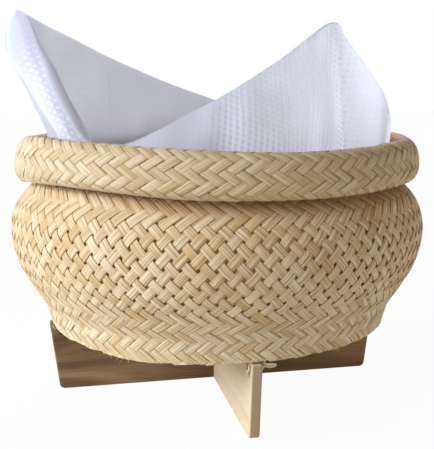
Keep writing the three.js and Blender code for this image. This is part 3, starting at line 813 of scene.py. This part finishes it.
def build_board(name, outline, turn, material, node, grain_shift):
    mesh = board_mesh(name, outline)
    co = np.empty(len(mesh.vertices) * 3, np.float32)
    mesh.vertices.foreach_get("co", co)
    x, y, z = co.reshape(-1, 3).astype(float).T
    put_vectors(mesh, "grain", stacked(x + grain_shift[0], y + grain_shift[1], z) * MM)
    raked_end = BOARD_FOOT / 2 + (BOARD_HEAD - BOARD_FOOT) / 2 * y / STAND_HEIGHT
    end = held((np.abs(x) - raked_end + 0.5) / 0.3) * (np.abs(z) < BOARD_THICKNESS / 2 - 0.1)
    put_vectors(mesh, "end", np.repeat(end, 3))
    c, s = math.cos(turn), math.sin(turn)
    world = stacked(x * c + z * s, x * s - z * c, y) * MM
    mesh.vertices.foreach_set("co", world.astype(np.float32).ravel())
    mesh.update()
    clean = bmesh.new()
    clean.from_mesh(mesh)
    bmesh.ops.remove_doubles(clean, verts=clean.verts, dist=1e-6)
    bmesh.ops.recalc_face_normals(clean, faces=clean.faces)
    clean.to_mesh(mesh)
    clean.free()
    mesh.polygons.foreach_set("use_smooth", np.zeros(len(mesh.polygons), bool))
    add_piece(add_object(name, mesh), material, nodes=(node,))


def build_stand():
    brown = wood("board_brown", (0.45, 0.285, 0.144), (0.235, 0.13, 0.055), (0.09, 0.045, 0.018), 5.0, 1.15,
                 BROWN_PAINTED_SHADE)
    blond = wood("board_blond", (0.725, 0.58, 0.37), (0.65, 0.48, 0.28), (0.40, 0.255, 0.13), 3.0, 0.35)
    build_board("stand_board_long_plank", board_outline(True), 0.0, brown, "stand_board_long", (12, -9))
    build_board("stand_board_cross_plank", board_outline(False), math.pi / 2 - CROSS_BOARD_SKEW, blond,
                "stand_board_cross", (31, 14))


# Ties and loose fibres

TIE_AZIMUTHS = (("tie_right", 0), ("tie_back", 90), ("tie_left", 180), ("tie_front", 269.5))
TIE_LEANS = (-0.35, 0.5)
# Paths of a tie's ends as (reach from the axis, place to the side, height).
TIE_KNOT = (
    (77.9, 2.7, 29.4), (79.6, 3.0, 31.6), (81.0, 4.2, 33.3), (81.4, 6.6, 33.5), (81.0, 8.2, 33.0),
    (80.8, 7.0, 32.4), (80.9, 5.0, 32.5), (81.0, 3.6, 33.7), (80.2, 3.4, 36))
TIE_TAIL = ((77.9, -2.7, 29.2), (80.2, -3.2, 30.6), (81.6, -3.1, 32.4), (81.4, -3.0, 34.0))
# Split ends along the foot at set places, as (azimuth, length), and the others.
FIBRE_SPOTS = [(-132.5, 5.5), (-131, 4.5), (-134.5, 3.5), (-138, 3), (-62, 3), (-96, 3)]
OTHER_FIBRES = 26
OTHER_LENGTH = 2.2
FIBRE_RADIUS = 81.2
FIBRE_THICKNESS = 0.16


def out_and_side(azimuth):
    """Unit directions away from the axis and to the side at an azimuth in degrees."""
    c, s = math.cos(math.radians(azimuth)), math.sin(math.radians(azimuth))
    return np.array((c, s, 0)), np.array((-s, c, 0))


def placed(path, azimuth):
    """A path of (reach from the axis, place to the side, height) set at an azimuth."""
    out, side = out_and_side(azimuth)
    return [out * r + side * t + np.array((0, 0, z)) for r, t, z in path]


def tie_loop(lean):
    """Closed path of one loop through the board's hole and over the foot hoop."""
    reach = TIE_HOLE_REACH + lean * 0.5
    return (
        (reach, 0.0, 29 + 0.3 * lean), (reach + 0.1, 2.75, 29.1), (reach + 1.2 + lean, 3.15, 32),
        (80.0, 2.9 + lean, 35.4), (80.15, 2.2 + 1.6 * lean, 38.2), (79.3, 1.4 + 1.6 * lean, 40.1),
        (76.9, 0.9 + lean, 40.2), (76.0, 0.4, 37.5), (76.2, -1.6, 35.3), (76.9, -2.95, 33),
        (reach, -2.75, 29.3))


def carried_normals(tangent):
    """Unit normals carried along a path without twist."""
    normal = np.empty_like(tangent)
    side = np.cross(tangent[0], (0.3, 0.2, 1.0))
    for i, t in enumerate(tangent):
        side = side - t * (side @ t)
        side /= np.linalg.norm(side)
        normal[i] = side
    return normal


def end_caps(rows, sides):
    """Corners of the quads that close the first and last ring of a tube."""
    caps = []
    for base, way in ((0, -1), ((rows - 1) * sides, 1)):
        for k in range(sides // 2 - 1):
            caps.append([base + k, base + k + 1, base + sides - 2 - k, base + sides - 1 - k][::way])
    return np.transpose(caps)


def cord(path, width, thickness, closed, sides=8, steps=14):
    """A flat split of cane swept along a smooth path in mm: its points, quad corners and strip parts."""
    count = len(path)
    line = spline(path, count * steps if closed else (count - 1) * steps + 1, closed)
    rows = len(line)
    tangent = (np.roll(line, -1, 0) - np.roll(line, 1, 0)) if closed else np.gradient(line, axis=0)
    tangent /= np.linalg.norm(tangent, axis=1)[:, None]
    normal = carried_normals(tangent)
    angle = np.arange(sides) / sides * 2 * math.pi
    c, s = np.cos(angle)[:, None], np.sin(angle)[:, None]
    ring = normal[:, None] * c * width / 2 + np.cross(tangent, normal)[:, None] * s * thickness / 2
    corners = grid_corners(rows, sides, closed)
    if not closed:
        from_end = np.minimum(np.arange(rows), np.arange(rows)[::-1])
        ring *= held(0.35 + from_end / 6)[:, None, None]
        corners = np.concatenate((corners, end_caps(rows, sides)), 1)
    return (line[:, None] + ring) * MM, corners, lengths(line)[:, None] * MM, np.cos(angle) * 0.7


def cords_object(name, cords):
    bundle = Bundle()
    for points, corners, along, across in cords:
        bundle.add(points, corners, (along, across, 0.5 + rng.uniform(0, 1)), rng.uniform(0.2, 0.8, 3))
    return bundle.make(name)


def build_ties():
    for name, azimuth in TIE_AZIMUTHS:
        loops = [cord(placed(tie_loop(lean), azimuth), 1.25, 0.6, True) for lean in TIE_LEANS]
        knot = cord(placed(TIE_KNOT, azimuth), 1.45, 0.7, False)
        ends = [knot, cord(placed(TIE_TAIL, azimuth), 1.1, 0.5, False)]
        add_piece(cords_object(name + "_cane", loops + ends), tie_cane, nodes=(name,))


def build_fibres():
    """Split ends that stick out along the foot edge."""
    others = [(float(azimuth), OTHER_LENGTH) for azimuth in rng.uniform(0, 360, OTHER_FIBRES)]
    fibres = []
    for azimuth, length in FIBRE_SPOTS + others:
        out, side = out_and_side(azimuth + rng.normal(0, 0.4))
        reach = length * rng.uniform(0.6, 1.1)
        slant = rng.uniform(-1.0, 0.4)
        root_z = FOOT_Z + lift_at(FOOT_LIFT, azimuth) + rng.uniform(0.6, 1.6)
        root = out * FIBRE_RADIUS + np.array((0, 0, root_z))
        tip = root + out * rng.uniform(0.4, 1.2) + side * slant * reach - np.array((0, 0, 0.75 * reach))
        bend = (root + tip) / 2 + out * 0.5 + side * rng.normal(0, 0.3)
        width = rng.uniform(0.22, 0.4)
        fibres.append(cord((root, bend, tip), width, FIBRE_THICKNESS, False, sides=6, steps=5))
    add_piece(cords_object("foot_edge_fibres", fibres), bamboo_outer)


# Steaming cloth

COLUMNS = 520
FLOOR_ROWS = 10
SIDE_ROWS = 66
ROLL_ROWS = 18
# Rows up to the free edge, before the roll.
EDGE_ROWS = FLOOR_ROWS + SIDE_ROWS
CLOTH_ROWS = EDGE_ROWS + ROLL_ROWS
FLOOR_REACH = 50
CLOTH_THROAT_Z = RIM_Z - 4
# Free edge of the cloth: azimuth in degrees, radius, rise over the rim crest.
CLOTH_EDGE = (
    (53, 78.5, 1.5), (68, 77.2, 10.9), (78.4, 76, 15.7), (89.4, 74.5, 20.7), (102.3, 75.8, 26.9),
    (114.9, 78.9, 33.9), (126.5, 83.1, 40.8), (138, 88.1, 48.5), (149.8, 93.4, 55.1), (160, 94.8, 58.7),
    (164.9, 96.3, 59.4), (168.4, 96.6, 59.2), (172.2, 92.9, 59.2), (175.2, 90.5, 58.2), (177.6, 89, 55.8),
    (180.7, 87.9, 51.9), (184.7, 86.8, 46.2), (189.1, 85.8, 39.9), (193.4, 84.7, 33.2), (197.3, 83.5, 26.7),
    (201, 82.4, 20.7), (205.1, 81.1, 14), (209.4, 80, 7.4), (213.8, 79.3, 2.4), (220, 78.6, -0.6),
    (225.5, 78.2, 0), (230.3, 76.7, 1.8), (233.3, 75.4, 3.3), (235.5, 74.6, 4.7), (240.1, 73, 7.6),
    (246.3, 70.4, 12), (252.1, 67.9, 15.7), (257.6, 65.5, 19), (271.1, 60.1, 27.3), (285.5, 57, 35.3),
    (301.9, 57, 44.9), (311.5, 58, 50.1), (316, 58.6, 51.7), (318.9, 59.7, 52.2), (320.2, 61.6, 51.3),
    (320.6, 63.7, 46.9), (321.2, 67.8, 41), (321.6, 71.9, 35.7), (322.2, 77.2, 28.6), (323.5, 81.1, 22),
    (327, 82.7, 15.2), (332.2, 83.1, 9.6), (338.9, 83.4, 3.8), (350, 81, 0.5), (5, 79, 3), (20, 78.5, 5),
    (35, 79, 3))
# Radius at the throat by azimuth.
CLOTH_THROAT = (
    (60, 81.8), (200, 81.8), (222, 81), (230, 79.5), (245, 77.5), (258, 75), (274, 71), (291, 67),
    (306, 65.4), (316, 64.8), (320.8, 65.2), (321.8, 67.5), (323, 73.5), (324.3, 79), (326.5, 81),
    (332, 81.6), (342, 81.6), (360, 80.5), (400, 81), (420, 81.8))
# The crease that runs up the left corner, as (height, azimuth).
RIDGE_LINE = ((125.6, 205.2), (134, 199.4), (142.6, 192.8), (157, 185.4), (179, 175.5))
# The rolled edge: its azimuth and half its width, its radius, how far it turns, the share of its rows that
# turn, and how far it hangs behind.
ROLL_AZIMUTH = 199
ROLL_HALF = 22
ROLL_RADIUS = 3.3
ROLL_SWING = math.radians(150)
ROLL_TURNED = 0.55
ROLL_HANG = 13
# Where the cloth is painted darker as shade, in part as doubled cloth, and where its net is squared, in
# azimuth: (from, to, soft width, share).
# Painted shade on the back inner face, on the left end of the front wing, in a band before the valley and on
# the lit strip of the left flap.
DOUBLED_AND_SHADED = ((68, 168, 16, 1), (214, 254, 12, 0.85), (226, 244, 20, 2), (306, 317, 8, 0.4), (172, 204, 8, 0.8))
SQUARED = ((318, 330, 5, 1), (175, 215, 12, 1), (254, 276, 18, 0.4))


def evenly_spaced(line, count, endpoint=True):
    """Points at equal steps of length along a line."""
    s = lengths(line)
    at = np.linspace(0, s[-1], count, endpoint=endpoint)
    return np.stack([np.interp(at, s, values) for values in line.T], -1)


def closed_centripetal(points, count, samples=40):
    """Points at equal steps of length on a closed centripetal Catmull-Rom curve through the points."""
    p = np.array(points, float)
    w = (np.arange(samples) / samples)[:, None]
    rows = []
    for k in range(len(p)):
        p0, p1, p2, p3 = (p[(k + o) % len(p)] for o in (-1, 0, 1, 2))
        d0, d1, d2 = (max(np.linalg.norm(b - a) ** 0.5, 1e-4) for a, b in ((p0, p1), (p1, p2), (p2, p3)))
        t1 = ((p1 - p0) / d0 - (p2 - p0) / (d0 + d1) + (p2 - p1) / d1) * d1
        t2 = ((p2 - p1) / d1 - (p3 - p1) / (d1 + d2) + (p3 - p2) / d2) * d1
        rows.append(cubic(p1, p2, t1, t2, w))
    return evenly_spaced(np.concatenate(rows + [rows[0][:1]]), count, endpoint=False)


def turn_to(a, b):
    return (np.asarray(a) - b + 180) % 360 - 180


def bell(azimuth, centre, half):
    return np.exp(-(turn_to(azimuth, centre) / half) ** 2)


def window(azimuth, low, high, soft):
    """1 between two azimuths, eased to 0 over a soft width outside them."""
    middle, half = (low + high) / 2, (high - low) / 2
    return eased(1 - (np.abs(turn_to(azimuth, middle)) - half) / soft)


def greatest(azimuth, windows):
    return np.max([share * window(azimuth, low, high, soft) for low, high, soft, share in windows], 0)


def column_at(azimuth, place):
    """Number of the column nearest to an azimuth."""
    return int(np.argmin(np.abs(turn_to(azimuth, place))))


def cloth_edge():
    """Places of the columns' ends along the free edge, and their azimuths."""
    turns = [(math.radians(azimuth), r, rise) for azimuth, r, rise in CLOTH_EDGE]
    stations = [(r * math.cos(t), r * math.sin(t), CREST_Z + rise) for t, r, rise in turns]
    edge = closed_centripetal(stations, COLUMNS)
    return edge, np.degrees(np.arctan2(edge[:, 1], edge[:, 0])) % 360


def cloth_sides(edge, azimuth):
    """Columns of (radius, height) from the turn of the floor up to the free edge."""
    reach = np.hypot(edge[:, 0], edge[:, 1])
    throats = np.interp(azimuth, *zip(*CLOTH_THROAT), period=360)
    wings = held(bell(azimuth, 285, 55) * 1.4)
    sides = []
    for a, edge_r, edge_z, throat, wing in zip(azimuth, reach, edge[:, 2], throats, wings):
        pleat = 2.2 * (1 + math.cos(math.radians(a) * 9)) / 2
        lean = max(0, throat - edge_r)
        rise = edge_z - RIM_Z
        flare = float(bell(a, 177, 11))
        middle = (throat + edge_r) / 2 + lean * (0.58 - 0.4 * wing) + 6.3 * flare
        shoulder = middle + (edge_r - middle) * 0.62 + 8.8 * flare
        lower = throat + (middle - throat) * 0.4 - 3.2 * flare
        stations = (
            (FLOOR_REACH, CLOTH_FLOOR_Z), (66 - pleat, CLOTH_FLOOR_Z + 12),
            (75 - pleat, CLOTH_FLOOR_Z + 34), (throat, CLOTH_THROAT_Z), (lower, RIM_Z + rise * 0.2),
            (middle, RIM_Z + rise * 0.48), (shoulder, RIM_Z + rise * 0.8), (edge_r, edge_z))
        sides.append(evenly_spaced(spline(stations, 240), SIDE_ROWS))
    return np.array(sides)


def rolled_edge(sides, roll):
    """Rows past the free edge, which turn inward and then hang behind."""
    r, z = sides[:, -1].T[..., None]
    along = sides[:, -1] - sides[:, -3]
    lean = np.arctan2(along[:, 1:], along[:, :1])
    size = ROLL_RADIUS * roll + 0.25
    t = np.arange(1, ROLL_ROWS + 1) / ROLL_ROWS
    heading = lean + np.minimum(t / ROLL_TURNED, 1) * ROLL_SWING
    hang = np.maximum(0, t - ROLL_TURNED) / (1 - ROLL_TURNED) * ROLL_HANG * roll
    x = r - size * np.sin(lean) + size * np.sin(heading) + hang * np.cos(heading)
    y = z + size * np.cos(lean) - size * np.cos(heading) + hang * np.sin(heading)
    return stacked(x, y)


def cloth_profile(edge, sides, roll):
    """Columns of (radius, height) from the middle of the floor up and over the rolled edge."""
    drop = 1.3 * ROLL_RADIUS * roll
    share = held((sides[:, :, 1] - RIM_Z) / np.maximum(edge[:, 2:] - RIM_Z, 4)) ** 1.5
    t = np.arange(FLOOR_ROWS) / FLOOR_ROWS
    floor = stacked(FLOOR_REACH * t + 0.01, CLOTH_FLOOR_Z + FLOOR_CROWN * (1 - t * t) - SEAT_GAP)
    tops = rolled_edge(sides, roll)
    tops[:, :, 1] -= drop
    sides[:, :, 1] -= share * drop
    return np.concatenate((np.broadcast_to(floor, (COLUMNS, *floor.shape)), sides, tops), 1)


def rippled(edge, around, profile):
    """Points of the cloth with its ripples and its ridge, and how far each is from the ridge in degrees."""
    r, z = profile[:, :, 0], profile[:, :, 1]
    ripple = 0.45 * np.sin(around / 5.5 + z / 9) + 0.3 * np.sin(around / 2.3 - z / 14 + 1)
    ripple *= held((z - CLOTH_FLOOR_Z) / 30) * held((edge[:, 2:] + 1 - z) / 10)
    away = turn_to(around, np.interp(z, *zip(*RIDGE_LINE)))
    ridge = 5.5 * np.where(away > 0, np.exp(-away / 9), np.exp(away / 3.2)) - 1.7
    ridge *= held((z - 112) / 12) * window(around, 172, 208, 10)
    ridge[:, EDGE_ROWS:] = 0
    return round_axis(r + ripple + ridge, np.radians(around), z) / MM, away


def net_places(azimuth, points):
    """Net coordinates in mm, laid flat on each side, and each column's place round the throat."""
    s = np.cumsum(np.linalg.norm(np.diff(points, axis=1, prepend=points[:, :1]), axis=2), axis=1)
    at_throat = []
    for column, run in zip(points[:, :EDGE_ROWS], s[:, :EDGE_ROWS]):
        values = (column[:, 0], column[:, 1], run)
        at_throat.append([np.interp(CLOTH_THROAT_Z, column[:, 2], row) for row in values])
    at_throat = np.array(at_throat)
    ring = at_throat[:, :2]
    tangent = np.roll(ring, -1, 0) - np.roll(ring, 1, 0)
    tangent = sum(np.roll(tangent, k, 0) for k in range(-5, 6))
    tangent /= np.linalg.norm(tangent, axis=1)[:, None]
    step = np.linalg.norm(np.roll(ring, -1, 0) - ring, axis=1)
    across = np.r_[0, np.cumsum(step)[:-1]]
    across = (across - across[column_at(azimuth, 53)]) % step.sum()
    rise = points[:, :, 2] - CLOTH_THROAT_Z
    sideways = np.einsum("ijk,ik->ij", points[:, :, :2] - ring[:, None], tangent)
    u = across[:, None] + sideways - 0.17 * rise * window(azimuth, 160, 335, 12)[:, None]
    past = np.clip(across[column_at(azimuth, 320)] - across, 0, None)
    v = s - at_throat[:, 2:] - 0.4 * (past * window(azimuth, 165, 400, 40))[:, None]
    return u, v, across


def net_looks(around, z, away, roll, turned):
    """How open the net is, how squared, how taut and painted lighter, and how doubled and painted darker as
    shade.
    """
    row = np.arange(CLOTH_ROWS)
    strip = held(-away / 4 - 0.2) * window(around, 160, 200, 14)
    under = held((row - EDGE_ROWS + 6) / 7) * roll
    # Painted shade: the lit strip darkened as if doubled, and the roll's underside a little.
    doubled_and_shaded = np.maximum(greatest(around, DOUBLED_AND_SHADED) + 2.0 * strip, 0.15 * under)
    # Painted highlight along the ridge line and painted light on the right facet, carried with the taut net.
    ridge = np.exp(-(away / 1.3) ** 2) * window(around, 172, 202, 6)
    taut_and_lit = np.maximum(turned * window(around, 318, 358, 6), ridge)
    open_net = window(around, 186, 208, 10) * held((168 - z) / 30)
    gap = 0.85 - 0.35 * window(around, 160, 210, 10) - 0.3 * strip + 1.1 * open_net * (1 - strip)
    gap += 0.45 * window(around, 317, 322, 3)
    gap *= (1 - 0.88 * held(doubled_and_shaded * 1.6 - 0.6)) * (1 - 0.97 * taut_and_lit) * (1 - 0.95 * under)
    gap *= 1 - held((row - EDGE_ROWS + 3) / 3) * (row < EDGE_ROWS) * (roll < 0.02)
    behind = held((away - 0.6) / 2) * window(around, 184, 214, 12) * (row < EDGE_ROWS + 2)
    lit = behind * held((176 - z) / 22)
    gap = gap * (1 - behind) - 1.25 * lit * held((9.5 - away) / 5)
    # Painted shade behind the ridge, which softens the edge of the fold.
    doubled_and_shaded = np.maximum(doubled_and_shaded, behind * np.clip(1.1 + (away - 5) / 20, 1.1, 1.7))
    # Painted highlight: less painted shade along the ridge.
    doubled_and_shaded *= 1 - 0.9 * np.exp(-((away + 0.3) / 1.4) ** 2) * window(around, 172, 204, 6)
    squared = 0.25 + 0.75 * greatest(around, SQUARED)
    return gap, squared, taut_and_lit, doubled_and_shaded


# Net pitches round and up the cloth and its relief, in metres.
NET_PITCH_ROUND = 0.0028
NET_PITCH_UP = 0.0026
NET_RELIEF = 0.00022


def cloth_material():
    """White net: rows and columns of yarn with soft open middles."""
    n = Nodes("net_cloth")
    u, v, gap = n.attribute("net")
    squared, taut_and_lit, doubled_and_shaded = n.attribute("look")
    sway = n.noise((u, v, 0.0), (60.0, 60.0, 1), 1.0, 0.5)
    turn_u = n.plus(n.times(u, 2 * math.pi / NET_PITCH_ROUND), n.times(sway, 1.4))
    turn_v = n.plus(n.times(v, 2 * math.pi / NET_PITCH_UP), n.times(sway, -1.2))
    yarn_u, yarn_v = n.wave(turn_u), n.wave(turn_v)
    hole = n.times(n.minus(1.0, yarn_u), n.minus(1.0, n.times(squared, yarn_v)))
    hole = n.level(hole, 0.15, 0.8)
    lit = n.math("MULTIPLY", hole, n.math("MULTIPLY", gap, -1.0, clamp=True), clamp=True)
    hole = n.times(hole, n.most(gap, 0.0))
    # Painted light: whiter where the net is taut and lit.
    shade = n.mix(taut_and_lit, (0.885, 0.905, 0.97), (0.895, 0.92, 0.975))
    # Painted shade where the cloth is doubled and shaded.
    shade = n.mix(n.times(doubled_and_shaded, 0.9), shade, (0.81, 0.79, 0.86))
    shade = n.mix(n.level(doubled_and_shaded, 1.0, 2.0), shade, (0.58, 0.56, 0.585))
    second_layer = n.wave(n.plus(n.times(turn_u, 1.6), n.times(turn_v, 0.7)))
    shade = n.mix(n.times(second_layer, n.level(doubled_and_shaded, 0.0, 1.0, 0.0, 0.07)), shade, (0.45, 0.42, 0.5))
    # Painted shade: the holes take a dark colour that stands for the shaded cloth behind them.
    shade = n.mix(n.times(hole, 0.62), shade, (0.56, 0.59, 0.68))
    shade = n.mix(lit, shade, (0.97, 0.98, 1.0))
    fluff = n.noise((u, v, 0.0), (1500.0, 1500.0, 1), 2.0, 0.6)
    yarns = n.times(n.most(yarn_u, n.times(yarn_v, squared)), n.level(doubled_and_shaded, 0.0, 1.0, 0.8, 0.05))
    normal = n.bump(n.plus(yarns, n.times(fluff, 0.2)), NET_RELIEF, 0.6)
    front = n.principled(shade, 0.8, normal, 0.15, 0.1)
    passing = n.mix(n.times(hole, 0.4), (0.915, 0.925, 0.985), (0.70, 0.72, 0.79))
    through = n.feed(n.add("BsdfTranslucent"), passing, normal)
    both = n.blend(n.level(doubled_and_shaded, 0.0, 1.0, 0.55, 0.22), front, through)
    return n.finish(n.blend(n.times(hole, 0.14), both, n.add("BsdfTransparent").outputs[0]))


def build_cloth():
    edge, azimuth = cloth_edge()
    around = azimuth[:, None]
    roll = eased(1.25 - np.abs(turn_to(around, ROLL_AZIMUTH)) / ROLL_HALF)
    points, away = rippled(edge, around, cloth_profile(edge, cloth_sides(edge, azimuth), roll))
    u, v, across = net_places(azimuth, points)
    turned = held((across - across[column_at(azimuth, 321.5)] + 2.5) / 3)[:, None]
    gap, squared, taut_and_lit, doubled_and_shaded = net_looks(around, points[:, :, 2], away, roll, turned)
    attributes = {"net": stacked(u * MM, v * MM, gap), "look": stacked(squared, taut_and_lit, doubled_and_shaded)}
    a, b, c, d = grid_corners(COLUMNS, CLOTH_ROWS, closed_rows=True, closed_lanes=False)
    obj = mesh_object("steaming_cloth_net", points.reshape(-1, 3) * MM, stacked(a, d, c, b), attributes)
    add_piece(obj, cloth_material(), "cloth", ("steaming_cloth",))


build_hoops()
build_stand()
build_ties()
build_fibres()
build_cloth()

# Stage and light

FLOOR_HALF = 4
FLOOR_DROP = 0.0002


def make_floor():
    n = Nodes("floor")
    diffuse = n.feed(n.add("BsdfDiffuse"), (0.92, 0.92, 0.92))
    glow = n.feed(n.add("Emission"), (1, 1, 1))
    material = n.finish(n.blend(n.times(n.seen(), 0.96), diffuse, glow))
    mesh = bpy.data.meshes.new("floor")
    corners = [(x * FLOOR_HALF, y * FLOOR_HALF, 0) for x, y in ((-1, -1), (1, -1), (1, 1), (-1, 1))]
    mesh.from_pydata(corners, [], [(0, 1, 2, 3)])
    mesh.materials.append(material)
    floor = add_object("floor", mesh)
    floor.location.z = -FLOOR_DROP


def make_world():
    scene.world = bpy.data.worlds.new("world")
    n = Nodes(scene.world)
    ambient = n.feed(n.add("Background"), (1.0, 0.89, 0.78), 0.125)
    white = n.feed(n.add("Background"), (1, 1, 1), 1.0)
    n.finish(n.blend(n.seen(), ambient, white), "World")


def sun_light(name, place, strength, spread, colour):
    data = bpy.data.lights.new(name, "SUN")
    data.energy = strength
    data.angle = math.radians(spread)
    data.color = colour
    aimed(name, data, place, -Vector(place))


make_floor()
make_world()
sun_light("key", (-0.94, -0.1, 0.335), 3.95, 40, (0.915, 1.02, 1.22))
sun_light("front", (0.4, -0.9, 0.2), 0.47, 40, (1.0, 0.88, 0.74))
sun_light("back", (0.25, 0.85, 0.5), 1.52, 30, (0.86, 0.98, 1.16))
scene.view_settings.view_transform = "Standard"
